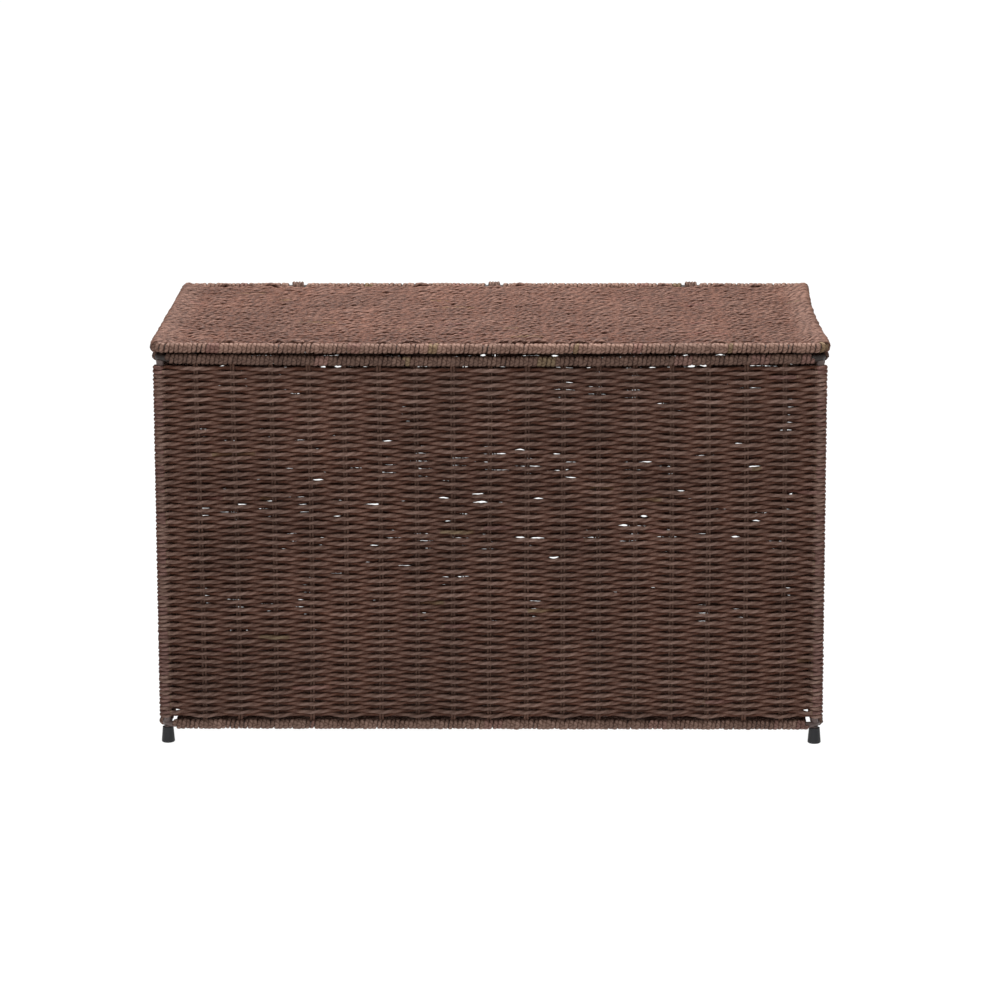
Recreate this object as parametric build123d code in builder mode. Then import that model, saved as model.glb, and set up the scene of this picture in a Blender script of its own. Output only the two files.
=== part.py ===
# Lidded storage chest used as a coffee table: paper cord woven over a frame of painted steel rods.
# X runs along the width, Y from front to back, and Z up. The origin is on the floor under the middle.
from build123d import *
import os

# Overall size, over the lid's wrapped rim and from the floor to the top of that rim
chest_width = 760.0
chest_depth = 420.0
chest_height = 465.0

# Frame of painted steel
rod_diameter = 7.0
post_diameter = 8.0
bar_diameter = 6.0
bend_radius = 12.0  # of a rim rod's centre line at each corner
saddle_depth = 1.0  # how far a post's end is notched over the rod it is welded to

# Cord and stakes
cord_diameter = 4.5
rim_wrap_thickness = 2.1  # cord flattened round a rim rod
weave_thickness = 10.8
stake_diameter = 2.6
stake_spacing = 41.0

# Rubber feet
foot_height = 18.0
foot_base_diameter = 15.4
foot_top_diameter = 12.4
foot_sole = 4.0
foot_edge_radius = 1.5

# Hinge lashings
loop_width = 18.0
loop_spacing = 240.0
loop_count = 3

# Gaps and fits
lid_gap = 1.0  # between the two wrapped rims when the lid is shut
lid_side_overhang = 1.0
foot_gap = 0.5  # from a foot's top to the rod above it
wall_slit = 2.6  # between a wall's first row and the rim beside it
flat_slit = 0.5  # between the rims and the weave of the lid and of the floor
stake_clearance = 0.2
pair_gap = 0.2  # between the two wires of a stake
running_clearance = 0.08
loop_clearance = 0.5  # from a lashing's sides to the wraps beside it

# Planes and centre lines worked out from the sizes
rod_radius = rod_diameter / 2
post_radius = post_diameter / 2
rim_radius = rod_radius + rim_wrap_thickness
lid_z = chest_height - rim_radius
top_z = lid_z - 2 * rim_radius - lid_gap
bottom_z = foot_height + foot_gap + rod_radius
lid_x = chest_width / 2 - rim_radius
body_x = lid_x - lid_side_overhang
rim_y = chest_depth / 2 - rim_radius
bend_inset = bend_radius * (1 - 0.5**0.5)  # from a rim's centre line to the middle of its bend
post_x = body_x - bend_inset
post_y = rim_y - bend_inset
wall_low = bottom_z + rim_radius + wall_slit
wall_high = top_z - rim_radius - wall_slit
corner_half = body_x + weave_thickness / 2 - post_x
wall_half_x = post_x - corner_half
wall_half_y = post_y - corner_half
stake_count_x = round(2 * post_x / stake_spacing) - 1
stake_count_y = round(2 * post_y / stake_spacing) - 1
stake_step_x = 2 * post_x / (stake_count_x + 1)
stake_step_y = 2 * post_y / (stake_count_y + 1)
bar_x = stake_step_x * (stake_count_x // 4 - 0.5)
wire_offset = (stake_diameter + pair_gap) / 2
channel_width = 2 * stake_diameter + pair_gap + 2 * stake_clearance
channel_height = stake_diameter + 2 * stake_clearance
bar_channel = bar_diameter + 2 * stake_clearance

ends = (("front", -1), ("back", 1))
sides = (("left", -1), ("right", 1))
corners = [(f"{end}_{side}", sx * post_x, sy * post_y) for end, sy in ends for side, sx in sides]
rims = (("bottom", bottom_z, body_x), ("top", top_z, body_x), ("lid", lid_z, lid_x))
loop_room = loop_width + 2 * loop_clearance
loop_places = [(i - (loop_count - 1) / 2) * loop_spacing for i in range(loop_count)]
pieces = {}


def keep(builder, label):
    """Names a finished piece and keeps it for export."""
    builder.part.label = label
    pieces[label] = builder.part


# Rim rods: the front and back ones are bent round the corners, and straight side rods are welded between them
for rim, rim_z, half_x in rims:
    for end, sy in ends:
        bend_y = sy * (rim_y - bend_radius)
        with BuildPart() as bent_rod:
            with BuildLine(Plane.XY.offset(rim_z)) as rod_line:
                CenterArc((bend_radius - half_x, bend_y), bend_radius, 180, -90 * sy)
                Line((bend_radius - half_x, sy * rim_y), (half_x - bend_radius, sy * rim_y))
                CenterArc((half_x - bend_radius, bend_y), bend_radius, 90 * sy, -90 * sy)
            with BuildSketch(Plane(origin=rod_line.line @ 0, z_dir=rod_line.line % 0)):
                Circle(rod_radius)
            sweep(path=rod_line.wires()[0])
        keep(bent_rod, f"{rim}_rod_{end}")
    for side, sx in sides:
        with BuildPart() as straight_rod:
            with BuildSketch(Plane.XZ):
                with Locations((sx * half_x, rim_z)):
                    Circle(rod_radius)
            extrude(amount=rim_y - bend_radius, both=True)
        keep(straight_rod, f"{rim}_rod_{side}")

# Corner posts, notched over the bends of the bottom and top rims
for corner, x, y in corners:
    with BuildPart() as post:
        with BuildSketch(Plane.XY.offset(bottom_z + rod_radius - saddle_depth)):
            with Locations((x, y)):
                Circle(post_radius)
        extrude(amount=top_z - bottom_z - rod_diameter + 2 * saddle_depth)
        end = corner.split("_")[0]
        add(pieces[f"bottom_rod_{end}"], mode=Mode.SUBTRACT)
        add(pieces[f"top_rod_{end}"], mode=Mode.SUBTRACT)
    keep(post, f"corner_post_{corner}")

# Leg stubs under the bottom rim's bends, which the rubber feet push onto
with BuildPart() as leg_stubs:
    with BuildSketch(Plane.XY.offset(foot_sole)):
        with Locations(*[(x, y) for _, x, y in corners]):
            Circle(post_radius)
    extrude(amount=bottom_z - rod_radius + saddle_depth - foot_sole)
    add([pieces["bottom_rod_front"], pieces["bottom_rod_back"]], mode=Mode.SUBTRACT)
keep(leg_stubs, "leg_stubs")

for corner, x, y in corners:
    with BuildPart() as foot:
        with Locations((x, y, foot_height / 2)):
            Cone(foot_base_diameter / 2, foot_top_diameter / 2, foot_height)
        fillet(foot.edges().sort_by(Axis.Z)[0], foot_edge_radius)
        with BuildSketch(Plane.XY.offset(foot_sole)):
            with Locations((x, y)):
                Circle(post_radius)
        extrude(amount=foot_height - foot_sole, mode=Mode.SUBTRACT)
    keep(foot, f"foot_{corner}")

# Cross bars welded between the front and back rods of the floor and of the lid
for rim, rim_z, name in (("bottom", bottom_z, "floor_bars"), ("lid", lid_z, "lid_bars")):
    with BuildPart() as bars:
        with BuildSketch(Plane.XZ):
            with Locations((-bar_x, rim_z), (bar_x, rim_z)):
                Circle(bar_diameter / 2)
        extrude(amount=rim_y, both=True)
        add([pieces[f"{rim}_rod_front"], pieces[f"{rim}_rod_back"]], mode=Mode.SUBTRACT)
    keep(bars, name)

# Wraps of cord on the rims. The lid's cover its bends too, and the back ones leave room for the lashings
for rim, rim_z, half_x in rims:
    for end, sy in ends:
        bend_y = sy * (rim_y - bend_radius)
        with BuildPart() as long_wrap:
            with BuildLine(Plane.XY.offset(rim_z)) as wrap_line:
                Line((bend_radius - half_x, sy * rim_y), (half_x - bend_radius, sy * rim_y))
                if rim == "lid":
                    CenterArc((bend_radius - half_x, bend_y), bend_radius, 180, -90 * sy)
                    CenterArc((half_x - bend_radius, bend_y), bend_radius, 90 * sy, -90 * sy)
            wrap_path = wrap_line.wires()[0]
            with BuildSketch(Plane(origin=wrap_path @ 0, z_dir=wrap_path % 0)):
                Circle(rim_radius)
                Circle(rod_radius, mode=Mode.SUBTRACT)
            sweep(path=wrap_path)
            if end == "back" and rim != "bottom":
                with Locations(*[(x, rim_y, rim_z) for x in loop_places]):
                    Box(loop_room, 2 * rim_radius, 2 * rim_radius, mode=Mode.SUBTRACT)
            if rim != "top":
                add(pieces["floor_bars" if rim == "bottom" else "lid_bars"], mode=Mode.SUBTRACT)
        keep(long_wrap, f"{rim}_wrap_{end}")
    for side, sx in sides:
        with BuildPart() as side_wrap:
            with BuildSketch(Plane.XZ):
                with Locations((sx * half_x, rim_z)):
                    Circle(rim_radius)
                    Circle(rod_radius, mode=Mode.SUBTRACT)
            extrude(amount=rim_y - bend_radius, both=True)
        keep(side_wrap, f"{rim}_wrap_{side}")

# Cord turned round each post, from the outer face of one wall to that of the next
for corner, x, y in corners:
    with BuildPart() as corner_wrap:
        with BuildSketch(Plane.XY.offset(wall_low)):
            with Locations((x, y)):
                Rectangle(2 * corner_half, 2 * corner_half)
                Circle(post_radius, mode=Mode.SUBTRACT)
        extrude(amount=wall_high - wall_low)
        upright_edges = corner_wrap.edges().filter_by(Axis.Z)
        outer_edge = upright_edges.sort_by_distance((0, 0, 0))[-1]
        fillet(outer_edge, post_radius + cord_diameter)
    keep(corner_wrap, f"corner_wrap_{corner}")

# Front and back walls: pairs of upright wires with the weave on both sides of them
for end, sy in ends:
    with BuildPart() as stakes:
        with BuildSketch(Plane.XY.offset(bottom_z)):
            with Locations((0, sy * rim_y)):
                with GridLocations(stake_step_x, 1, stake_count_x, 1):
                    with Locations((-wire_offset, 0), (wire_offset, 0)):
                        Circle(stake_diameter / 2)
        extrude(amount=top_z - bottom_z)
        for rim_z in (bottom_z, top_z):
            with Locations(Location((0, sy * rim_y, rim_z), (0, 90, 0))):
                Cylinder(rim_radius, chest_width, mode=Mode.SUBTRACT)
    keep(stakes, f"{end}_stakes")
    with BuildPart() as wall:
        with BuildSketch(Plane.XY.offset(wall_low)):
            with Locations((0, sy * rim_y)):
                Rectangle(2 * wall_half_x, weave_thickness)
                with GridLocations(stake_step_x, 1, stake_count_x, 1):
                    Rectangle(channel_width, channel_height, mode=Mode.SUBTRACT)
        extrude(amount=wall_high - wall_low)
    keep(wall, f"{end}_weave")

# Left and right walls, made the same way
for side, sx in sides:
    with BuildPart() as stakes:
        with BuildSketch(Plane.XY.offset(bottom_z)):
            with Locations((sx * body_x, 0)):
                with GridLocations(1, stake_step_y, 1, stake_count_y):
                    with Locations((0, -wire_offset), (0, wire_offset)):
                        Circle(stake_diameter / 2)
        extrude(amount=top_z - bottom_z)
        for rim_z in (bottom_z, top_z):
            with Locations(Location((sx * body_x, 0, rim_z), (90, 0, 0))):
                Cylinder(rim_radius, chest_depth, mode=Mode.SUBTRACT)
    keep(stakes, f"{side}_stakes")
    with BuildPart() as wall:
        with BuildSketch(Plane.XY.offset(wall_low)):
            with Locations((sx * body_x, 0)):
                Rectangle(weave_thickness, 2 * wall_half_y)
                with GridLocations(1, stake_step_y, 1, stake_count_y):
                    Rectangle(channel_height, channel_width, mode=Mode.SUBTRACT)
        extrude(amount=wall_high - wall_low)
    keep(wall, f"{side}_weave")

# Floor and lid: the same weave lying flat, with its wires from front to back beside the cross bars
for name, flat_z, half_x, corner_radius in (
    ("floor", bottom_z, body_x, bend_radius),
    ("lid", lid_z, lid_x, bend_radius - rim_radius - flat_slit),
):
    with BuildPart() as stakes:
        with BuildSketch(Plane.XZ):
            with Locations((0, flat_z)):
                with GridLocations(stake_step_x, 1, stake_count_x, 1):
                    with Locations((-wire_offset, 0), (wire_offset, 0)):
                        Circle(stake_diameter / 2)
        extrude(amount=rim_y, both=True)
        for _, sy in ends:
            with Locations(Location((0, sy * rim_y, flat_z), (0, 90, 0))):
                Cylinder(rim_radius, chest_width, mode=Mode.SUBTRACT)
        if name == "lid":
            with Locations(*[(x, rim_y, lid_z) for x in loop_places]):
                Box(loop_room, 2 * (rim_radius + loop_clearance), 2 * rim_radius, mode=Mode.SUBTRACT)
    keep(stakes, f"{name}_stakes")
    with BuildPart() as flat:
        with BuildSketch(Plane.XZ):
            with Locations((0, flat_z)):
                Rectangle(2 * (half_x - rim_radius - flat_slit), weave_thickness)
                with GridLocations(stake_step_x, 1, stake_count_x, 1):
                    Rectangle(channel_width, channel_height, mode=Mode.SUBTRACT)
                with Locations((-bar_x, 0), (bar_x, 0)):
                    Rectangle(bar_channel, bar_channel, mode=Mode.SUBTRACT)
        extrude(amount=rim_y - rim_radius - flat_slit, both=True)
        by_x = flat.edges().filter_by(Axis.Z).group_by(Axis.X)
        fillet(by_x[0] + by_x[-1], corner_radius)
    keep(flat, f"{name}_weave")

# Hinge: cord lashed tight round the body's back rod and turning freely on the lid's
for number, x in enumerate(loop_places, start=1):
    with BuildPart() as loop:
        with BuildSketch(Plane.YZ.offset(x)):
            with Locations((rim_y, (top_z + lid_z) / 2)):
                SlotCenterToCenter(lid_z - top_z, 2 * rim_radius, rotation=90)
            with Locations((rim_y, top_z)):
                Circle(rod_radius, mode=Mode.SUBTRACT)
            with Locations((rim_y, lid_z)):
                Circle(rod_radius + running_clearance, mode=Mode.SUBTRACT)
        extrude(amount=loop_width / 2, both=True)
    keep(loop, f"hinge_lashing_{number}")

os.makedirs("parts", exist_ok=True)
for label, part in pieces.items():
    export_step(part, f"parts/{label}.step")
print(len(pieces), "pieces, posts at", round(post_x, 2), round(post_y, 2), "hinge at", rim_y, lid_z)
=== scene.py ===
import math
import random

import bmesh
import bpy
import numpy as np
from mathutils import Matrix, Vector, noise


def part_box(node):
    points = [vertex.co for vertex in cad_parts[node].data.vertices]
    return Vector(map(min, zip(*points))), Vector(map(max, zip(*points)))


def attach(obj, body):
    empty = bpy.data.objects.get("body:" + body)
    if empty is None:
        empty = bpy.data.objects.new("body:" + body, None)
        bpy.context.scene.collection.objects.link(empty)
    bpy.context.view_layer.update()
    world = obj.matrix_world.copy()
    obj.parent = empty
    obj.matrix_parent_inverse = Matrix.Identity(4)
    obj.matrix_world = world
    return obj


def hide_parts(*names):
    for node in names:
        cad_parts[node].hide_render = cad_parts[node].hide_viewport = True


# Wicker storage chest: paper cord woven over a steel rod frame, with a lid hinged at the back

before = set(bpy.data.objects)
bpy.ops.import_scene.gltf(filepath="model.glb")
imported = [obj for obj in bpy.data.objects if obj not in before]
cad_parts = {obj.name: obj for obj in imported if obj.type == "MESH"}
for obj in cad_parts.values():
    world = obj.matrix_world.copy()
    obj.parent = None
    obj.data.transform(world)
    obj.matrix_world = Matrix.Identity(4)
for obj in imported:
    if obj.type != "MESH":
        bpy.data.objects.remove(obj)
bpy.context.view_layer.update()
print("frame loaded:", len(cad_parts), "nodes")


def middle(node):
    low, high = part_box(node)
    return (low + high) / 2


def span(node):
    low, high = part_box(node)
    return high - low


rodRadius = span("top_rod_left").x / 2
rimRadius = span("top_wrap_left").x / 2
postRadius = span("corner_post_front_left").x / 2
bendRadius = span("bottom_rod_front").y - rodRadius
lidHalfX = middle("lid_rod_right").x
bodyHalfX = middle("top_rod_right").x
rimHalfY = -middle("top_wrap_front").y
postX = middle("corner_post_front_right").x
postY = middle("corner_post_back_right").y
lidZ = middle("lid_rod_left").z
topZ = middle("top_rod_left").z
bottomZ = middle("bottom_rod_left").z
wallLow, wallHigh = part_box("front_weave")[0].z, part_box("front_weave")[1].z

cameraView = {"lens": 137.3, "place": (0.074, -4.404, 1.225), "yaw": 0.857, "pitch": 12.618, "roll": -0.137}

def addCamera(view):
    data = bpy.data.cameras.new("camera")
    data.lens = view["lens"]
    data.clip_end = 50
    camera = bpy.data.objects.new("camera", data)
    turn = Matrix.Rotation(math.radians(view["yaw"]), 3, "Z")
    turn = turn @ Matrix.Rotation(math.radians(90 - view["pitch"]), 3, "X")
    turn = turn @ Matrix.Rotation(math.radians(view["roll"]), 3, "Z")
    camera.rotation_euler = turn.to_euler()
    camera.location = view["place"]
    bpy.context.scene.collection.objects.link(camera)
    bpy.context.scene.camera = camera


def addLight(name, place, target, size, watts):
    data = bpy.data.lights.new(name, "AREA")
    data.shape = "RECTANGLE"
    data.size, data.size_y = size
    data.energy = watts
    light = bpy.data.objects.new(name, data)
    light.location = place
    light.rotation_euler = (Vector(target) - Vector(place)).to_track_quat("-Z", "Y").to_euler()
    bpy.context.scene.collection.objects.link(light)


def addFloor():
    bm = bmesh.new()
    bmesh.ops.create_grid(bm, x_segments=1, y_segments=1, size=20)
    mesh = bpy.data.meshes.new("studio_floor")
    bm.to_mesh(mesh)
    bm.free()
    floor = bpy.data.objects.new("studio_floor", mesh)
    bpy.context.scene.collection.objects.link(floor)
    paint = bpy.data.materials.new("studioWhite")
    paint.use_nodes = True
    shader = paint.node_tree.nodes["Principled BSDF"]
    shader.inputs["Base Color"].default_value = (0.1, 0.1, 0.1, 1)
    shader.inputs["Roughness"].default_value = 1.0
    shader.inputs["Specular IOR Level"].default_value = 0.0
    shader.inputs["Emission Color"].default_value = (1, 1, 1, 1)
    shader.inputs["Emission Strength"].default_value = studio["floor"]
    mesh.materials.append(paint)


studio = {"world": 0.3, "top": 100, "front": 20, "floor": 1.0}
addCamera(cameraView)
addFloor()
addLight("softboxTop", (0.1, 0.15, 2.4), (0, 0, 0.3), (2.2, 1.4), studio["top"])
addLight("softboxFront", (-1.2, -3.0, 1.7), (0, 0, 0.25), (2.0, 1.6), studio["front"])
world = bpy.data.worlds.new("studioAir")
world.use_nodes = True
world.node_tree.nodes["Background"].inputs["Color"].default_value = (1, 1, 1, 1)
world.node_tree.nodes["Background"].inputs["Strength"].default_value = studio["world"]
bpy.context.scene.world = world
bpy.context.scene.view_settings.view_transform = "Standard"
print("studio ready")


def newGroup(name, inputs, outputs):
    group = bpy.data.node_groups.new(name, "ShaderNodeTree")
    for label, kind, value in inputs:
        socket = group.interface.new_socket(label, in_out="INPUT", socket_type=kind)
        socket.default_value = value
    for label, kind in outputs:
        group.interface.new_socket(label, in_out="OUTPUT", socket_type=kind)
    return group, group.nodes.new("NodeGroupInput"), group.nodes.new("NodeGroupOutput")


def addNode(tree, kind, settings=None, inputs=None):
    node = tree.nodes.new(kind)
    for key, value in (settings or {}).items():
        setattr(node, key, value)
    for key, value in (inputs or {}).items():
        if isinstance(value, bpy.types.NodeSocket):
            tree.links.new(value, node.inputs[key])
        else:
            node.inputs[key].default_value = value
    return node


def addMath(tree, operation, first, second=None):
    inputs = {0: first}
    if second is not None:
        inputs[1] = second
    return addNode(tree, "ShaderNodeMath", {"operation": operation}, inputs).outputs[0]


def addRange(tree, value, low, high, start, end):
    inputs = {0: value, 1: low, 2: high, 3: start, 4: end}
    return addNode(tree, "ShaderNodeMapRange", None, inputs).outputs[0]


def addScaled(tree, colour, factor):
    inputs = {0: colour, "Scale": factor}
    return addNode(tree, "ShaderNodeVectorMath", {"operation": "SCALE"}, inputs).outputs[0]


def addNoise(tree, place, scale, detail):
    inputs = {"Vector": place, "Scale": scale, "Detail": detail}
    return addNode(tree, "ShaderNodeTexNoise", None, inputs).outputs["Fac"]


def addBump(tree, height, strength, distance):
    inputs = {"Strength": strength, "Distance": distance, "Height": height}
    bump = addNode(tree, "ShaderNodeBump", None, inputs)
    tree.links.new(bump.outputs[0], tree.nodes["Principled BSDF"].inputs["Normal"])


# Two plies of twisted paper: masks for the grooves between them and their spiral, where the cord's colour
# takes painted shade, and fine creases across each
def makePlyGroup():
    group, entry, leave = newGroup(
        "twistedPly",
        [("Along", "NodeSocketFloat", 0.0), ("Around", "NodeSocketFloat", 0.0),
         ("Lay", "NodeSocketFloat", 0.011), ("Crease Pitch", "NodeSocketFloat", 0.0011)],
        [("Groove", "NodeSocketFloat"), ("Spiral", "NodeSocketFloat"), ("Crease", "NodeSocketFloat")],
    )
    turn = addMath(group, "MULTIPLY", entry.outputs["Around"], 4 * math.pi)
    wave = addMath(group, "COSINE", turn)
    lifted = addMath(group, "MULTIPLY_ADD", wave, -0.5)
    lifted.node.inputs[2].default_value = 0.5
    groove = addMath(group, "POWER", lifted, 1.6)
    group.links.new(groove, leave.inputs["Groove"])
    spun = addMath(group, "DIVIDE", entry.outputs["Along"], entry.outputs["Lay"])
    phase = addMath(group, "MULTIPLY_ADD", spun, 4 * math.pi)
    group.links.new(turn, phase.node.inputs[2])
    ridge = addMath(group, "MULTIPLY_ADD", addMath(group, "COSINE", phase), -0.5)
    ridge.node.inputs[2].default_value = 0.5
    group.links.new(ridge, leave.inputs["Spiral"])
    steps = addMath(group, "DIVIDE", entry.outputs["Along"], entry.outputs["Crease Pitch"])
    slant = addMath(group, "MULTIPLY", entry.outputs["Around"], 5.0)
    across = addMath(group, "ADD", steps, slant)
    place = addNode(group, "ShaderNodeCombineXYZ", None, {0: across, 1: slant})
    crease = addNode(group, "ShaderNodeTexNoise", {"noise_dimensions": "2D"},
                     {"Vector": place.outputs[0], "Scale": 1.0, "Detail": 2.0, "Roughness": 0.6})
    group.links.new(crease.outputs["Fac"], leave.inputs["Crease"])
    return group


plyGroup = makePlyGroup()


def fillRamp(ramp, stops):
    while len(ramp.elements) > 1:
        ramp.elements.remove(ramp.elements[-1])
    ramp.elements[0].position, ramp.elements[0].color = stops[0][0], (*stops[0][1], 1)
    for position, colour in stops[1:]:
        ramp.elements.new(position).color = (*colour, 1)


# Paper cord whose tone runs along each cord, from the mesh's own attributes, with painted shade in its grooves
# and where it lies deep in the weave, and a painted highlight where it stands out
def makeCordMaterial(name, look):
    material = bpy.data.materials.new(name)
    material.use_nodes = True
    tree = material.node_tree
    shader = tree.nodes["Principled BSDF"]
    uv = addNode(tree, "ShaderNodeUVMap", {"uv_map": "cordMap"})
    parts = addNode(tree, "ShaderNodeSeparateXYZ", None, {0: uv.outputs[0]})
    ply = addNode(tree, "ShaderNodeGroup", {"node_tree": plyGroup},
                  {"Along": parts.outputs[0], "Around": parts.outputs[1]})
    tone = addNode(tree, "ShaderNodeAttribute", {"attribute_name": "cordTone"})
    ramp = addNode(tree, "ShaderNodeValToRGB", None, {0: tone.outputs["Fac"]})
    fillRamp(ramp.color_ramp, look["tones"])
    place = addNode(tree, "ShaderNodeTexCoord").outputs["Object"]
    patches = addNoise(tree, place, look["patchScale"], 3.0)
    fade = addRange(tree, patches, 0.3, 0.7, look["patchDark"], look["patchLight"])
    patchesAndDepthLight = addScaled(tree, ramp.outputs[0], fade)
    creaseTone = look["creaseTone"]
    creased = addRange(tree, ply.outputs["Crease"], 0.3, 0.7, 1 - creaseTone, 1 + creaseTone)
    fine = addScaled(tree, patchesAndDepthLight, creased)
    # Painted shade: the colour darkens in the grooves between the plies and along their spiral
    shade = addRange(tree, ply.outputs["Groove"], 0.0, 0.6, look["grooveShade"], 1.0)
    spiral = addRange(tree, ply.outputs["Spiral"], 0.0, 0.5, look["spiralShade"], 1.0)
    both = addMath(tree, "MULTIPLY", shade, spiral)
    shaded = addScaled(tree, fine, both)
    # Painted light: cord deep in the weave and in its grooves takes a deeper, redder painted shade, and cord
    # standing out takes a paler painted highlight
    depthLight = addNode(tree, "ShaderNodeAttribute", {"attribute_name": "cordShadeByDepth"})
    shadeToHighlight = addMath(tree, "MULTIPLY", depthLight.outputs["Fac"], both)
    tint = addNode(tree, "ShaderNodeMix", {"data_type": "RGBA"},
                   {0: shadeToHighlight, 6: (*look["paintedShadeTint"], 1), 7: (*look["paintedHighlightTint"], 1)})
    final = addNode(tree, "ShaderNodeVectorMath", {"operation": "MULTIPLY"}, {0: shaded, 1: tint.outputs[2]})
    tree.links.new(final.outputs[0], shader.inputs["Base Color"])
    matt, glossier = look["rough"][1], look["rough"][0]
    rough = addRange(tree, ply.outputs["Crease"], 0.3, 0.7, matt, glossier)
    tree.links.new(rough, shader.inputs["Roughness"])
    height = addMath(tree, "MULTIPLY_ADD", ply.outputs["Crease"], 0.35)
    tree.links.new(ply.outputs["Groove"], height.node.inputs[2])
    addBump(tree, height, look["bump"], look["bumpDepth"])
    shader.inputs["Specular IOR Level"].default_value = look["specular"]
    material.diffuse_color = (*look["tones"][1][1], 1)
    return material


brownTones = [
    (0.0, (0.105, 0.053, 0.037)),
    (0.45, (0.160, 0.085, 0.061)),
    (0.74, (0.215, 0.120, 0.089)),
    (0.82, (0.145, 0.090, 0.050)),  # olive lengths
    (0.89, (0.185, 0.114, 0.064)),
    (0.93, (0.150, 0.071, 0.055)),  # burgundy lengths
    (1.0, (0.200, 0.100, 0.077)),
]
# The last two tints of each look are painted light: the first is a painted shade for cord deep in the weave
# and in its grooves, the second a painted highlight where it stands out
cordLook = {"tones": brownTones, "patchScale": 9.0, "patchDark": 0.86, "patchLight": 1.14, "creaseTone": 0.14,
            "grooveShade": 0.72, "spiralShade": 1.0, "rough": (0.55, 0.8), "bump": 0.6, "bumpDepth": 0.0005,
            "specular": 0.25, "paintedShadeTint": (0.56, 0.31, 0.19), "paintedHighlightTint": (1.12, 1.27, 1.37)}
wallCord = makeCordMaterial("wallPaperCord", cordLook)


def tinted(red, green, blue):
    return [(at, (r * red, g * green, b * blue)) for at, (r, g, b) in brownTones]


# The lid's cord gets a deeper painted shade in its grooves
lidLook = {**cordLook, "tones": tinted(1.01, 0.97, 0.96), "grooveShade": 0.56,
           "paintedShadeTint": (0.60, 0.37, 0.26), "paintedHighlightTint": (1.06, 1.09, 1.12)}
rimLook = {**cordLook, "tones": tinted(1.0, 1.04, 1.04), "patchScale": 14.0, "grooveShade": 0.70,
           "spiralShade": 0.66, "paintedHighlightTint": (1.06, 1.14, 1.19)}
# The lid rim's cord is a lighter copy of the rims' cord, as painted light from above
lidRimLook = {**cordLook, "tones": tinted(1.08, 1.10, 1.09), "patchScale": 14.0, "grooveShade": 0.72,
              "spiralShade": 0.66, "paintedHighlightTint": (1.06, 1.10, 1.13)}
stakePaperLook = {**cordLook, "tones": tinted(0.9, 0.86, 0.82), "grooveShade": 0.8, "spiralShade": 0.85,
                  "paintedHighlightTint": (1.0, 1.02, 1.04)}
lidCord = makeCordMaterial("lidPaperCord", lidLook)
rimCord = makeCordMaterial("rimPaperCord", rimLook)
lidRimCord = makeCordMaterial("lidRimPaperCord", lidRimLook)
stakeCord = makeCordMaterial("stakePaper", stakePaperLook)


def makePaintedSteel(name, look):
    material = bpy.data.materials.new(name)
    material.use_nodes = True
    tree = material.node_tree
    shader = tree.nodes["Principled BSDF"]
    place = addNode(tree, "ShaderNodeTexCoord").outputs["Object"]
    specks = addNoise(tree, place, 900.0, 2.0)
    wear = addNoise(tree, place, 120.0, 4.0)
    ramp = addNode(tree, "ShaderNodeValToRGB", None, {0: wear})
    fillRamp(ramp.color_ramp, look["tones"])
    tree.links.new(ramp.outputs[0], shader.inputs["Base Color"])
    rough = addRange(tree, wear, 0.3, 0.7, 0.38, 0.6)
    tree.links.new(rough, shader.inputs["Roughness"])
    addBump(tree, specks, 0.25, 0.0002)
    shader.inputs["Specular IOR Level"].default_value = 0.3
    return material


def makeRubber(look):
    material = bpy.data.materials.new("blackRubber")
    material.use_nodes = True
    tree = material.node_tree
    shader = tree.nodes["Principled BSDF"]
    place = addNode(tree, "ShaderNodeTexCoord").outputs["Object"]
    grain = addNoise(tree, place, 1400.0, 2.0)
    dust = addNoise(tree, place, 160.0, 3.0)
    ramp = addNode(tree, "ShaderNodeValToRGB", None, {0: dust})
    fillRamp(ramp.color_ramp, look["tones"])
    tree.links.new(ramp.outputs[0], shader.inputs["Base Color"])
    addBump(tree, grain, 0.3, 0.0002)
    shader.inputs["Roughness"].default_value = 0.55
    return material


darkPaint = [(0.3, (0.022, 0.016, 0.014)), (0.6, (0.036, 0.027, 0.024)), (0.8, (0.06, 0.046, 0.040))]
# A lighter copy of the steel paint: painted light from the white floor on the frame's low pieces
floorLitPaint = [(0.3, (0.100, 0.070, 0.064)), (0.6, (0.140, 0.100, 0.091)), (0.8, (0.180, 0.133, 0.122))]
paintedSteel = makePaintedSteel("brownPaintedSteel", {"tones": darkPaint})
floorLitSteel = makePaintedSteel("floorLitPaintedSteel", {"tones": floorLitPaint})
rubber = makeRubber({"tones": [(0.3, (0.0045, 0.0055, 0.0070)), (0.7, (0.0085, 0.0095, 0.0120))]})
print("materials ready")


# A closed outline that a cord's line carries along it
def makeProfile(name, points):
    data = bpy.data.curves.new(name, "CURVE")
    data.dimensions = "2D"
    line = data.splines.new("POLY")
    line.points.add(len(points) - 1)
    line.points.foreach_set("co", [value for x, y in points for value in (x, y, 0, 1)])
    line.use_cyclic_u = True
    return bpy.data.objects.new(name, data)


# Outline of two plies side by side: two blunt lobes with a groove between them
def lobed(radius, groove, halfAngle=30):
    turns = (270, -halfAngle, halfAngle, 90, 180 - halfAngle, 180 + halfAngle)
    reach = (groove, radius, radius, groove, radius, radius)
    return [(r * math.cos(math.radians(a)), r * math.sin(math.radians(a))) for a, r in zip(turns, reach)]


def roundOutline(radius, count=6):
    turns = [2 * math.pi * i / count for i in range(count)]
    return [(radius * math.cos(a), radius * math.sin(a)) for a in turns]


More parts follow.
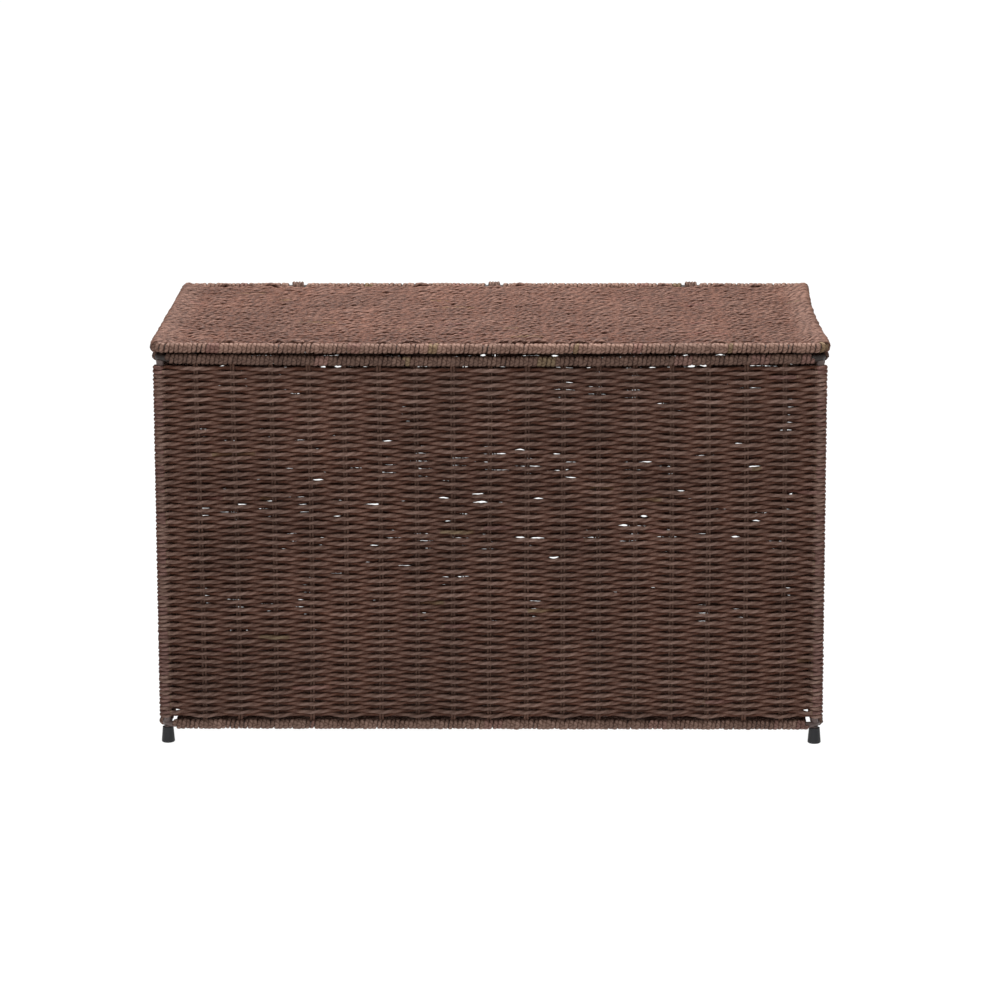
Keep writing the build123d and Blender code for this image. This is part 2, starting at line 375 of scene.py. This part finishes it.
# Makes one mesh of cords. Each line is (points, tilts, tones, girths)
def layCords(name, lines, outline, twistMode, material, body, replaced, plane=None):
    profile = makeProfile(name + "_outline", outline)
    data = bpy.data.curves.new(name, "CURVE")
    data.dimensions = "3D"
    data.twist_mode = twistMode
    data.bevel_mode = "OBJECT"
    data.bevel_object = profile
    data.use_fill_caps = False
    for points, tilts, tones, girths in lines:
        line = data.splines.new("POLY")
        line.points.add(len(points) - 1)
        line.points.foreach_set("co", np.column_stack([points, np.ones(len(points))]).ravel())
        line.points.foreach_set("tilt", np.asarray(tilts, float))
        line.points.foreach_set("radius", np.asarray(girths, float))
    holder = bpy.data.objects.new(name + "_line", data)
    bpy.context.scene.collection.objects.link(holder)
    graph = bpy.context.evaluated_depsgraph_get()
    mesh = bpy.data.meshes.new_from_object(holder.evaluated_get(graph), depsgraph=graph)
    mesh.name = name
    bpy.data.objects.remove(holder)
    bpy.data.curves.remove(data)
    bpy.data.objects.remove(profile)
    # Each face corner learns how far along and around its cord it lies, and each point its cord's tone
    ring = len(outline)
    steps = [np.linalg.norm(np.diff(line[0], axis=0), axis=1) for line in lines]
    alongs = [np.concatenate([[0], np.cumsum(step)]) for step in steps]
    along = np.repeat(np.concatenate(alongs), ring)
    tone = np.repeat(np.concatenate([line[2] for line in lines]), ring)
    numbers = [np.full(len(line[0]), i) for i, line in enumerate(lines)]
    cordNumber = np.repeat(np.concatenate(numbers), ring)
    corners = np.empty(len(mesh.loops), np.int32)
    mesh.loops.foreach_get("vertex_index", corners)
    around = np.empty(len(mesh.loops) * 2, np.float32)
    mesh.uv_layers[0].uv.foreach_get("vector", around)
    around = around.reshape(-1, 2)[:, 1]
    mesh.uv_layers[0].name = "cordMap"
    cordMap = np.column_stack([along[corners] + 0.137 * cordNumber[corners], around])
    mesh.uv_layers["cordMap"].uv.foreach_set("vector", cordMap.astype(np.float32).ravel())
    addBakeMap(mesh, along, cordNumber, corners, around, [a[-1] for a in alongs])
    mesh.attributes.new("cordTone", "FLOAT", "POINT").data.foreach_set("value", tone.astype(np.float32))
    # Painted light by depth: cord that stands out of the weave gets a paler painted highlight, cord that dips
    # behind it a deeper painted shade
    patchesAndDepthLight = np.ones(len(mesh.vertices))
    if plane:
        places = np.empty(len(mesh.vertices) * 3, np.float32)
        mesh.vertices.foreach_get("co", places)
        axis, level = plane
        patchesAndDepthLight = np.clip((np.abs(places.reshape(-1, 3)[:, axis] - level) + 0.0003) / 0.0048, 0, 1)
    mesh.attributes.new("cordShadeByDepth", "FLOAT", "POINT").data.foreach_set("value", patchesAndDepthLight.astype(np.float32))
    bm = bmesh.new()
    bm.from_mesh(mesh)
    bmesh.ops.holes_fill(bm, edges=[edge for edge in bm.edges if edge.is_boundary], sides=ring)
    bmesh.ops.recalc_face_normals(bm, faces=bm.faces)
    bm.to_mesh(mesh)
    bm.free()
    mesh.materials.clear()
    mesh.materials.append(material)
    piece = bpy.data.objects.new(name, mesh)
    bpy.context.scene.collection.objects.link(piece)
    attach(piece, body)
    if replaced:
        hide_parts(*replaced)
    metres = round(sum(length[-1] for length in alongs), 2)
    triangles = sum(len(face.vertices) - 2 for face in mesh.polygons)
    print(name, len(lines), "cords", metres, "m", triangles, "triangles")


# Lays every cord out flat as strips of one map, cutting a long one into several
def addBakeMap(mesh, along, cordNumber, corners, around, lengths):
    strip = sum(lengths) / max(1, round(math.sqrt(sum(lengths) / 0.0135)))
    perCord = np.array([max(1, math.ceil(length / strip)) for length in lengths])
    first = np.concatenate([[0], np.cumsum(perCord)])
    starts = np.empty(len(mesh.polygons), np.int32)
    mesh.polygons.foreach_get("loop_start", starts)
    counts = np.empty(len(mesh.polygons), np.int32)
    mesh.polygons.foreach_get("loop_total", counts)
    lowest = np.minimum.reduceat(along[corners], starts)
    cords = cordNumber[corners[starts]]
    cut = (np.array(lengths) / perCord)[cords]
    part = np.minimum((lowest / cut + 1e-6).astype(int), perCord[cords] - 1)
    part, cut, base = (np.repeat(value, counts) for value in (part, cut, first[cords]))
    u = np.clip((along[corners] - part * cut) / cut, 0, 1.02) * 0.97 + 0.005
    v = (base + part + 0.08 + 0.84 * around) / first[-1]
    bakeMap = np.column_stack([u, v]).astype(np.float32)
    mesh.uv_layers.new(name="OFBake").uv.foreach_set("vector", bakeMap.ravel())


# Adds the twist, tone and girth that vary along one cord
def finishLine(points, rng, look):
    points = np.array(points)
    steps = np.linalg.norm(np.diff(points, axis=0), axis=1)
    along = np.concatenate([[0], np.cumsum(steps)])
    seed = rng.uniform(0, 300)
    loose = [min(1.45, 1 + look["layDrift"] * noise.noise(Vector((at * 6, seed, 1.0)))) for at in along[1:]]
    tilts = along * 0
    if look["lay"]:
        twist = np.concatenate([[0], np.cumsum(steps * loose)]) * (-2 * math.pi / look["lay"])
        tilts = twist + rng.uniform(0, math.pi)
    tones = np.array([look["tone"] + 0.24 * noise.noise(Vector((at * 7, seed, 3.0)))
                      + 0.16 * noise.noise(Vector((at * 26, seed, 6.0))) for at in along])
    tones = np.clip(tones + rng.gauss(0, 0.07), 0.02, 0.74)
    at = rng.uniform(0, 2 / look["oddPerMetre"])
    while at < along[-1]:
        reach = rng.uniform(*look["oddReach"])
        tones[(along > at) & (along < at + reach)] = rng.choice((0.84, 0.88, 0.94, 0.99))
        at += reach + rng.uniform(0, 2 / look["oddPerMetre"])
    girths = [1 + look["girthDrift"] * noise.noise(Vector((a * 40, seed, 8.0))) for a in along]
    return points, tilts, tones, girths


weave = {
    "amplitude": 0.0031,  # of a cord's swing to either side of the stakes
    "pitch": 0.0046,
    "step": 0.0030,
    "stakeSpacing": 0.041,
    "drift": 0.0030,
    "ripple": 0.0013,
    "jitter": 0.00055,
    "stakeDrift": 0.0045,
    "sag": 0.0036,
    "lidSag": 0.0012,
    "slimmer": {"back": 0.6, "left": 0.72, "right": 0.72},  # shares of the swing, with a fuller cord
    "fuller": 1.08,
    "skirt": 0.0017,  # by which the lowest rows rise between the stakes
    "cornerBulge": 0.0012,  # by which the turns round the posts stand out more near the floor
}
plies = lobed(0.00252, 0.00212)
lidPlies = lobed(0.0026, 0.0018)
weftLook = {"lay": 0.027, "layDrift": 0.5, "tone": 0.44, "oddPerMetre": 0.7, "oddReach": (0.01, 0.06),
            "girthDrift": 0.14}
stakesX = round(2 * postX / weave["stakeSpacing"]) - 1
stakesY = round(2 * postY / weave["stakeSpacing"]) - 1
spacingX = 2 * postX / (stakesX + 1)
spacingY = 2 * postY / (stakesY + 1)


# The stakes stand a little off their even spacing, and lean
def stakeShift(name, s, z):
    if name not in walls:
        return 0.0
    wallSeed = len(name) * 3.1 + ord(name[0])
    return weave["stakeDrift"] * noise.noise(Vector((s * 9, z * 2.2, wallSeed)))


# The front of the chest sags a little between its corners, most at the rims
def frontSag(x, z):
    reach = max(0.0, min(1.0, (z - 0.6 * topZ) / (0.4 * topZ)))
    depth = weave["lidSag"] if z > topZ + 0.001 else weave["sag"]
    return -depth * (1 - min(1.0, (x / postX) ** 2)) * reach * reach


walls = {
    "front": {"side": -1, "half": postX, "spacing": spacingX, "flat": rimHalfY, "post": postY},
    "back": {"side": 1, "half": postX, "spacing": spacingX, "flat": rimHalfY, "post": postY},
    "left": {"side": -1, "half": postY, "spacing": spacingY, "flat": bodyHalfX, "post": postX},
    "right": {"side": 1, "half": postY, "spacing": spacingY, "flat": bodyHalfX, "post": postX},
}
rowCount = round((wallHigh - wallLow) / weave["pitch"])
rowPitch = (wallHigh - wallLow) / rowCount


cornerGaps = ((0.3635, 0, 0.0014), (0.3615, 2, 0.0018), (0.3585, 4, 0.0012))
lidSlitLights = (-0.302, -0.007, 0.006, 0.073, 0.149, 0.163, 0.219, 0.257, 0.276)
rimSlitLights = (-0.345, -0.300, -0.186, -0.170, -0.028, 0.112, 0.183, 0.199, 0.226, 0.240, 0.338)


# The gap in the back wall that stands behind a place on the front wall
def gapBehind(x, z, opened, reach):
    eye, seen = Vector(cameraView["place"]), Vector((x, -rimHalfY, z))
    behind = eye + (seen - eye) * ((rimHalfY - eye.y) / (seen.y - eye.y))
    return behind.x, round((behind.z - wallLow) / rowPitch), opened, reach


# Small gaps between rows that line up from the front wall to the back, so light shows through them
def makeGaps(rng, count):
    front, back = [], []
    for _ in range(count):
        stake = rng.randint(-stakesX // 2 + 1, stakesX // 2)
        z = wallLow + (wallHigh - wallLow) * rng.triangular(0.25, 0.97, 0.60)
        row = round((z - wallLow) / rowPitch)
        if (stake + row) % 2 == 0:
            row += 1
        x = stake * spacingX + rng.choice((-1, 1)) * rng.uniform(0.007, 0.014)
        z = wallLow + row * rowPitch
        front.append((x, row, rng.uniform(0.0003, 0.0012), rng.uniform(0.0030, 0.0068)))
        back.append(gapBehind(x, z, 0.0034, 0.0080))
    for x in lidSlitLights:
        back.append(gapBehind(x, (lidZ + topZ + frontSag(x, lidZ) + frontSag(x, topZ)) / 2, 0.0032, 0.0045))
    for x in rimSlitLights:
        back.append(gapBehind(x, (wallHigh + topZ - rimRadius) / 2 + frontSag(x, topZ), 0.0032, 0.0045))
    return front, back


def gapShift(gaps, s, row):
    shift = 0.0
    for x, gapRow, opened, reach in gaps:
        if abs(s - x) < reach and abs(row - gapRow) < 7:
            window = (1 - ((s - x) / reach) ** 2) ** 0.7
            above = row >= gapRow
            fade = math.exp(-(row - gapRow if above else gapRow - 1 - row) / 2.2)
            shift += (0.5 if above else -0.5) * opened * window * fade
    return shift


frontGaps, backGaps = makeGaps(random.Random(41), 54)
frontGaps += [(side * x, row, opened, 0.0042) for side in (-1, 1) for x, row, opened in cornerGaps]
wallGaps = {"front": frontGaps, "back": backGaps, "left": [], "right": []}


def wallPoint(name, wall, s, out, z):
    side = wall["side"]
    if name in ("front", "back"):
        return (s, side * (wall["flat"] + out), z)
    return (side * (wall["flat"] + out), s, z)


def ease(share):
    share = min(1.0, max(0.0, share))
    return share * share * (3 - 2 * share)


# One row of weft: a wave over and under the stakes, passing outside both posts and round a quarter of each
def wallRow(name, wall, row, rng):
    half, spacing = wall["half"], wall["spacing"]
    z0 = wallLow + (row + 0.5) * rowPitch
    turnRadius = postRadius + 0.0022 + weave["cornerBulge"] * (1 - z0 / topZ)
    postOut = wall["post"] + turnRadius - wall["flat"]
    signs = -1 if row % 2 else 1
    swing = weave["amplitude"] * weave["slimmer"].get(name, 1)
    steps = round(2 * half / weave["step"])
    calm = min(1.0, min(row + 0.5, rowCount - row - 0.5) / 6)
    near = (0.0055, 0.0075) if signs * math.cos(math.pi * half / spacing) < 0 else (0.010, 0.014)
    reach = rng.uniform(*near), rng.uniform(*near)
    points = []
    for i in range(steps + 1):
        s = -half + 2 * half * i / steps
        shifted = s - stakeShift(name, s, z0) * ease((half - abs(s)) / spacing)
        out = swing * signs * math.cos(math.pi * shifted / spacing)
        toPost = 1 - ease((half - abs(s)) / reach[s > 0])
        out += (postOut - out) * toPost
        place = Vector(wallPoint(name, wall, s, 0, z0))
        lift = weave["drift"] * noise.noise(place * 7) + weave["ripple"] * noise.noise(place * 24)
        rowSeed = Vector((s * 38, row * 3.7, wall["flat"] * 9 * wall["side"]))
        lift += weave["jitter"] * noise.noise(rowSeed) * (1 - toPost)
        lift = lift * calm + gapShift(wallGaps[name], s, row)
        out += 0.0004 * noise.noise(Vector((s * 45, row * 5.3, 4.0 + wall["side"]))) * (1 - toPost)
        z = z0 + lift
        if name == "front":
            z += frontSag(s, z0)
            z += weave["skirt"] * math.exp(-row / 1.2) * math.sin(math.pi * s / spacing) ** 2 * (1 - toPost)
        if name != "front":
            z -= 0.0020 * math.exp(-row / 3) * (1 - toPost)
        points.append(wallPoint(name, wall, s, out, z))
    if name in ("front", "back"):
        turn = [math.radians(a) for a in (30, 60, 90)]
        for sign, end in ((-1, 0), (1, -1)):
            z = points[end][2]
            arc = [(sign * (postX + turnRadius * math.sin(a)),
                    wall["side"] * (postY + turnRadius * math.cos(a)), z) for a in turn]
            points = points + arc if sign > 0 else arc[::-1] + points
    points, tilts, tones, girths = finishLine(points, rng, weftLook)
    if name != "front":
        girths = [girth * weave["fuller"] for girth in girths]
    redder = rng.uniform(0.93, 1.0) if rng.random() < 0.45 else rng.uniform(0.55, 0.74)
    axis, post = (0, postX) if name in ("front", "back") else (1, postY)
    tones[np.abs(points[:, axis]) > post - 0.004] = redder
    return points, tilts, tones, girths


for name, wall in walls.items():
    rng = random.Random(name)
    rows = [wallRow(name, wall, row, rng) for row in range(rowCount)]
    if name in ("front", "back"):
        cut = rowCount // 2
        posts = [f"corner_wrap_{name}_left", f"corner_wrap_{name}_right"]
        plane = (1, wall["side"] * wall["flat"])
        layCords(f"{name}_weave_lower", rows[:cut], plies, "Z_UP", wallCord, "chest",
                 [f"{name}_weave"], plane)
        layCords(f"{name}_weave_upper", rows[cut:], plies, "Z_UP", wallCord, "chest",
                 posts, plane)
    else:
        plane = (0, wall["side"] * wall["flat"])
        layCords(f"{name}_weave_rows", rows, plies, "Z_UP", wallCord, "chest",
                 [f"{name}_weave"], plane)
print("walls woven")

flats = {
    "lid": {"z": lidZ, "halfX": lidHalfX, "step": 0.0028, "swing": 0.0013, "lumps": 0.0015,
            "shuffle": 0.0013},
    "floor": {"z": bottomZ, "halfX": bodyHalfX, "step": 0.0042, "swing": 0.0030, "lumps": 0.0002,
              # The front rows stop a little short of the side rods
              "shuffle": 0.0004, "looseTo": -0.110, "looseBy": 0.009},
}
lidWeftLook = {**weftLook, "lay": 0.022, "layDrift": 1.2, "oddPerMetre": 0.5, "girthDrift": 0.35}
flatLooks = {"lid": lidWeftLook, "floor": weftLook}
lidBow = {"right": 0.0050, "left": 0.0004}


# The lid's side rods bow inwards a little between their corners
def sideBow(side, y):
    return lidBow[side] * max(0.0, 1 - (y / (rimHalfY - bendRadius)) ** 2)


def flatRow(name, flat, row, rows, rng):
    low = -rimHalfY + rimRadius
    y0 = low + (row + 0.5) * (-2 * low) / rows
    left, right = -flat["halfX"] + 0.0035, flat["halfX"] - 0.0035
    if name == "lid":
        left, right = left + sideBow("left", y0), right - sideBow("right", y0)
    elif y0 < flat["looseTo"]:
        left, right = left + flat["looseBy"], right - flat["looseBy"]
    steps = round((right - left) / flat["step"])
    signs = -1 if row % 2 else 1
    calm = min(1.0, min(row + 0.5, rows - row - 0.5) / 4)
    points, endSides = [], []
    for i in range(steps + 1):
        x = left + (right - left) * i / steps
        up = flat["swing"] * signs * math.cos(math.pi * x / spacingX) * ease(min(x - left, right - x) / 0.02)
        place = Vector((x, y0, flat["z"]))
        side = 0.0014 * noise.noise(place * 9) + 0.0009 * noise.noise(place * 28)
        shuffle = flat["shuffle"] * noise.noise(Vector((x * 60, row * 3.1, 2.0)))
        side += shuffle * ease(min(x - left, right - x) / 0.03)
        up += flat["lumps"] * noise.noise(Vector((x * 95, row * 4.9, 7.0)))
        if name == "lid":
            up += 0.0008 * noise.noise(place * 14)
            up += frontSag(x, lidZ) * max(0.0, -y0 / rimHalfY) ** 2
            up += 0.0044 * (1 - ease(min(x - left, right - x) / 0.024))
        points.append((x, y0 + side * calm, flat["z"] + up))
        if i in (0, steps):
            endSides.append(side * calm)
    if name != "lid":
        return finishLine(points, rng, flatLooks[name])
    # Each end goes over its side rod and back under it
    radius = rodRadius + 0.0018 + rng.uniform(-0.0004, 0.0008)
    arcs = [math.radians(a) for a in (60, 82, 106, 132, 158, 184, 210, 236, 262)]
    leftEnd = [(left - 0.0035 + radius * math.cos(a), y0 + endSides[0], lidZ + radius * math.sin(a))
               for a in arcs]
    rightEnd = [(right + 0.0035 - radius * math.cos(a), y0 + endSides[1], lidZ + radius * math.sin(a))
                for a in arcs]
    inner = [point for point in points if left + 0.001 < point[0] < right - 0.001]
    points, tilts, tones, girths = finishLine(leftEnd[::-1] + inner + rightEnd, rng, flatLooks[name])
    girths = [max(0.98, girth) if x < left + 0.012 or x > right - 0.012 else girth
              for girth, x in zip(girths, points[:, 0])]
    return points, tilts, tones, girths


for name, flat in flats.items():
    rng = random.Random(name + "flat")
    rows = round(2 * (rimHalfY - rimRadius) / weave["pitch"])
    cords = [flatRow(name, flat, row, rows, rng) for row in range(rows)]
    if name == "lid":
        layCords("lid_weave_front", cords[: rows // 2], lidPlies, "Z_UP", lidCord, "lid",
                 ["lid_weave", "lid_wrap_left"], (2, lidZ))
        layCords("lid_weave_rear", cords[rows // 2 :], lidPlies, "Z_UP", lidCord, "lid",
                 ["lid_wrap_right"], (2, lidZ))
    else:
        layCords("floor_weave_rows", cords, plies, "Z_UP", wallCord, "chest", ["floor_weave"],
                 (2, bottomZ))
print("lid and floor woven")

stake = {"radius": 0.0013, "apart": 0.0015, "step": 0.009, "wander": 0.0006}
stakeLook = {**weftLook, "lay": 0, "tone": 0.45, "oddPerMetre": 0.3}


# One wire of a pair, wandering a little between the rims it is hooked to
def stakeWire(name, at, start, end, sideways, number, rng):
    start, end, sideways = Vector(start), Vector(end), Vector(sideways)
    steps = round((end - start).length / stake["step"])
    points = []
    for i in range(steps + 1):
        share = i / steps
        hold = min(1.0, 6 * min(share, 1 - share))
        wander = stakeShift(name, at, start.lerp(end, share).z)
        wander += stake["wander"] * noise.noise(Vector((share * 9, number * 2.3, start.y))) * hold
        points.append(start.lerp(end, share) + sideways * wander)
    return finishLine(points, rng, stakeLook)


def stakeWires(name, rng):
    lines = []
    alongX = name not in ("left", "right")
    count, spacing = (stakesX, spacingX) if alongX else (stakesY, spacingY)
    for number in range(2 * count):
        s = (number // 2 - count // 2) * spacing + (number % 2 * 2 - 1) * stake["apart"]
        if name in flats:
            z = flats[name]["z"]
            sag = frontSag(s, z) if name == "lid" else 0
            ends = (s, -rimHalfY + rodRadius, z + sag), (s, rimHalfY - rodRadius, z), (1, 0, 0)
        elif alongX:
            y = walls[name]["side"] * rimHalfY
            sag = frontSag(s, topZ) if name == "front" else 0
            ends = (s, y, bottomZ + rodRadius), (s, y, topZ - rodRadius + sag), (1, 0, 0)
        else:
            x = walls[name]["side"] * bodyHalfX
            ends = (x, s, bottomZ + rodRadius), (x, s, topZ - rodRadius), (0, 1, 0)
        lines.append(stakeWire(name, (number // 2 - count // 2) * spacing, *ends, number, rng))
    return lines


for name in ("front", "back", "left", "right", "floor", "lid"):
    lines = stakeWires(name, random.Random(name + "stake"))
    layCords(f"{name}_stake_wires", lines, roundOutline(stake["radius"]), "MINIMUM", stakeCord,
             "lid" if name == "lid" else "chest", [f"{name}_stakes"])
print("stakes laid")

wrap = {"pitch": 0.0051, "pointsPerTurn": 12, "thick": 0.0026, "wide": 0.0053}
wrapOutline = [
    (wrap["wide"] / 2 * x, wrap["thick"] / 2 * y)
    for x, y in ((-1, 0), (-0.72, 0.7), (0, 1), (0.72, 0.7), (1, 0), (0.72, -0.7), (0, -1), (-0.72, -0.7))
]
wrapLook = {**weftLook, "lay": 0, "oddPerMetre": 1.6, "oddReach": (0.03, 0.14), "girthDrift": 0.38}
# The rims' tones are partly painted light: the top rim's cord is darkened as painted shade under the lid rim,
# and the lid rim's is lightened for the top light on it
rimLitAndShadedTones = {"bottom": 0.56, "top": 0.09, "lid": 0.74}


def straightLine(start, end):
    start, end = Vector(start), Vector(end)
    heading = (end - start).normalized()
    return (end - start).length, lambda t: (start + heading * t, heading)


# A front or back rim: a straight run with a quarter bend at each end
def bentLine(halfX, side, z):
    arc = math.pi / 2 * bendRadius
    run = 2 * (halfX - bendRadius)
    yMid = side * (rimHalfY - bendRadius)

    def at(t):
        if arc <= t <= arc + run:
            return Vector((t - arc - halfX + bendRadius, side * rimHalfY, z)), Vector((1, 0, 0))
        sign = -1 if t < arc else 1
        a = (arc - t if t < arc else t - arc - run) / bendRadius
        x = sign * (halfX - bendRadius + bendRadius * math.sin(a))
        place = Vector((x, yMid + side * bendRadius * math.cos(a), z))
        return place, Vector((math.cos(a), -side * sign * math.sin(a), 0))

    return 2 * arc + run, at


def clipped(line, start, end):
    return end - start, lambda t: line[1](t + start)


def noShift(place):
    return Vector()


def frontShift(place):
    return Vector((0, 0, frontSag(place.x, place.z)))


def lidShift(place):
    side, sign = ("right", -1) if place.x > 0 else ("left", 1)
    return Vector((sign * sideBow(side, place.y), 0, 0))


# Cord wound turn against turn round a rim
def coil(line, shift, rng, look):
    length, at = line
    radius = rodRadius + wrap["thick"] / 2 - 0.0002
    turns = max(1, round(length / wrap["pitch"]))
    count = turns * wrap["pointsPerTurn"]
    seed = rng.uniform(0, 100)
    lean = [rng.gauss(0, 0.0012) for _ in range(turns + 2)]
    points = []
    for i in range(count + 1):
        turn = i / wrap["pointsPerTurn"]
        a = 2 * math.pi * turn
        slip = lean[int(turn)] * math.sin(math.pi * (turn % 1)) ** 2
        slip += 0.0006 * noise.noise(Vector((turn * 0.35, seed, 5.0)))
        place, heading = at(min(max(length * i / count + slip, 0.0), length))
        up = Vector((0, 0, 1))
        out = heading.cross(up)
        reach = radius + 0.0007 * noise.noise(Vector((turn * 1.3, seed, 9.0)))
        points.append(place + (out * math.cos(a) + up * math.sin(a)) * reach + shift(place))
    points, tilts, tones, girths = finishLine(points, rng, look)
    perTurn = np.repeat([rng.gauss(0, 0.12) for _ in range(turns + 1)], wrap["pointsPerTurn"])[: len(tones)]
    plain = tones < 0.75
    tones[plain] = np.clip(tones + perTurn, 0.02, 0.74)[plain]
    return points, tilts, tones, girths


loopX = [middle(f"hinge_lashing_{n}").x for n in (1, 2, 3)]
loopHalf = span("hinge_lashing_1").x / 2
rimNames = {"bottom": (bottomZ, bodyHalfX), "top": (topZ, bodyHalfX), "lid": (lidZ, lidHalfX)}


# The stretches of a back rim between its ends and the hinge lashings
def backRuns(halfX):
    stops = [-(halfX - bendRadius)]
    for x in loopX:
        stops += [x - loopHalf - 0.0018, x + loopHalf + 0.0018]
    return list(zip(stops[::2], stops[1::2] + [halfX - bendRadius]))


for rim, (z, halfX) in rimNames.items():
    body = "lid" if rim == "lid" else "chest"
    shift = noShift if rim == "bottom" else frontShift
    rng = random.Random(rim + "wrap")
    look = {**wrapLook, "tone": rimLitAndShadedTones[rim]}
    bend, inner = math.pi / 2 * bendRadius, halfX - bendRadius
    whole = bentLine(halfX, -1, z), bentLine(halfX, 1, z)
    if rim == "lid":
        front = [coil(whole[0], shift, rng, look)]
        runs = [[a + inner + bend, b + inner + bend] for a, b in backRuns(halfX)]
        runs[0][0], runs[-1][1] = 0, whole[1][0]
    else:
        front = [coil(clipped(whole[0], bend, bend + 2 * inner), shift, rng, look)]
        stretches = backRuns(halfX) if rim == "top" else [(-inner, inner)]
        runs = [(a + inner + bend, b + inner + bend) for a, b in stretches]
    back = [coil(clipped(whole[1], a, b), noShift, rng, look) for a, b in runs]
    cord = lidRimCord if rim == "lid" else rimCord
    layCords(f"{rim}_front_wrap", front, wrapOutline, "TANGENT", cord, body,
             [f"{rim}_wrap_front"])
    layCords(f"{rim}_back_wrap", back, wrapOutline, "TANGENT", cord, body,
             [f"{rim}_wrap_back"])
    for side, sign in (("left", -1), ("right", 1)):
        if rim != "lid":
            innerY = rimHalfY - bendRadius
            line = straightLine((sign * halfX, -innerY, z), (sign * halfX, innerY, z))
            turns = [coil(line, noShift, rng, look)]
            layCords(f"{rim}_{side}_wrap", turns, wrapOutline, "TANGENT", cord, body,
                     [f"{rim}_wrap_{side}"])
print("rims wrapped")


steelLook = {**weftLook, "lay": 0, "girthDrift": 0}


def layRod(name, line, shift, radius, body, node, steps):
    length, at = line
    rng = random.Random(name)
    points = [at(length * i / steps)[0] for i in range(steps + 1)]
    points = [place + shift(place) for place in points]
    layCords(name, [finishLine(points, rng, steelLook)], roundOutline(radius, 16), "MINIMUM", paintedSteel,
             body, node)


innerY = rimHalfY - bendRadius
layRod("lid_front_tube", bentLine(lidHalfX, -1, lidZ), frontShift, rodRadius, "lid", ["lid_rod_front"], 160)
layRod("top_front_tube", bentLine(bodyHalfX, -1, topZ), frontShift, rodRadius, "chest", ["top_rod_front"], 160)
layRod("lid_right_tube", straightLine((lidHalfX, -innerY, lidZ), (lidHalfX, innerY, lidZ)), lidShift,
       rodRadius, "lid", ["lid_rod_right"], 40)

lashing = {"turns": 4, "pitch": 0.0036, "pointsPerTurn": 20}
lashPlies = lobed(0.0021, 0.0018)
lashLook = {**weftLook, "lay": 0.02}


# Cord taken several times round both back rods
def lashLine(x, rng):
    radius = rodRadius + 0.0005 + 0.0019
    drop = lidZ - topZ
    loop = 2 * math.pi * radius + 2 * drop
    points = []
    for i in range(lashing["turns"] * lashing["pointsPerTurn"] + 1):
        turn = i / lashing["pointsPerTurn"]
        t = (turn % 1) * loop
        if t < math.pi * radius:
            a = t / radius
            y, z = radius * math.cos(a), lidZ + radius * math.sin(a)
        elif t < math.pi * radius + drop:
            y, z = -radius, lidZ - (t - math.pi * radius)
        elif t < 2 * math.pi * radius + drop:
            a = math.pi + (t - math.pi * radius - drop) / radius
            y, z = radius * math.cos(a), topZ + radius * math.sin(a)
        else:
            y, z = radius, topZ + (t - 2 * math.pi * radius - drop)
        across = x + (turn - lashing["turns"] / 2) * lashing["pitch"] * 0.95 + rng.gauss(0, 0.0001)
        points.append((across, rimHalfY + y, z))
    return finishLine(points, rng, lashLook)


for number, x in enumerate(loopX, 1):
    line = lashLine(x, random.Random(f"lash{number}"))
    layCords(f"hinge_lashing_{number}_cord", [line], lashPlies, "MINIMUM", rimCord, "chest",
             [f"hinge_lashing_{number}"])
print("hinges lashed")

tuckLook = {**weftLook, "lay": 0.017, "girthDrift": 0.2}


# A short length of cord that rises out of the weave and goes back in
def tuckedEnd(x, y, reach, height, lean, rng):
    points = []
    for i in range(11):
        share = i / 10
        rise = math.sin(math.pi * share)
        z = lidZ + frontSag(x, lidZ) * max(0.0, -y / rimHalfY) ** 2 - 0.001 + height * rise
        points.append((x + reach * (share - 0.5), y + lean * rise, z))
    return finishLine(points, rng, tuckLook)


rng = random.Random(7)
backTuckX = (-0.33, -0.298, -0.274, -0.205, -0.09, 0.03, 0.205, 0.274, 0.318)
tucks = [tuckedEnd(rng.uniform(-0.34, 0.34), -rimHalfY + rng.uniform(0.009, 0.013),
                   rng.uniform(0.018, 0.042), rng.uniform(0.0062, 0.0082), rng.uniform(-0.003, 0.003), rng)
         for _ in range(17)]
tucks += [tuckedEnd(x, rimHalfY - rng.uniform(0.0042, 0.0065), rng.uniform(0.012, 0.03),
                    rng.uniform(0.0046, 0.0062), rng.uniform(-0.001, 0.001), rng) for x in backTuckX]
layCords("lid_tucked_ends", tucks, plies, "Z_UP", lidCord, "lid", [])

for name, drop, body in (("lid", 0.0062, "lid"), ("floor", 0.0068, "chest")):
    low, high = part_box(f"{name}_bars")
    barRadius = (high.z - low.z) / 2
    lines = []
    for x in (low.x + barRadius, high.x - barRadius):
        ends = [Vector((x, side * (rimHalfY - rodRadius), flats[name]["z"] - 0.0015)) for side in (-1, 1)]
        if name == "lid":
            ends[0].z += frontSag(x, lidZ)
        points = [ends[0].lerp(ends[1], share) - Vector((0, 0, drop * ease(min(share, 1 - share) / 0.05)))
                  for share in [i / 40 for i in range(41)]]
        lines.append(finishLine(points, random.Random(1), steelLook))
    layCords(f"{name}_bar_rods", lines, roundOutline(barRadius, 12), "MINIMUM", paintedSteel, body,
             [f"{name}_bars"])

# The bottom rods, leg stubs and corner posts take the lighter steel, as painted light from the floor
floorLitPieces = ("bottom_rod", "leg_stubs", "corner_post")
for name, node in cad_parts.items():
    paint = floorLitSteel if name.startswith(floorLitPieces) else paintedSteel
    if name.startswith("foot_"):
        paint = rubber
    for slot in node.material_slots:
        slot.material = paint
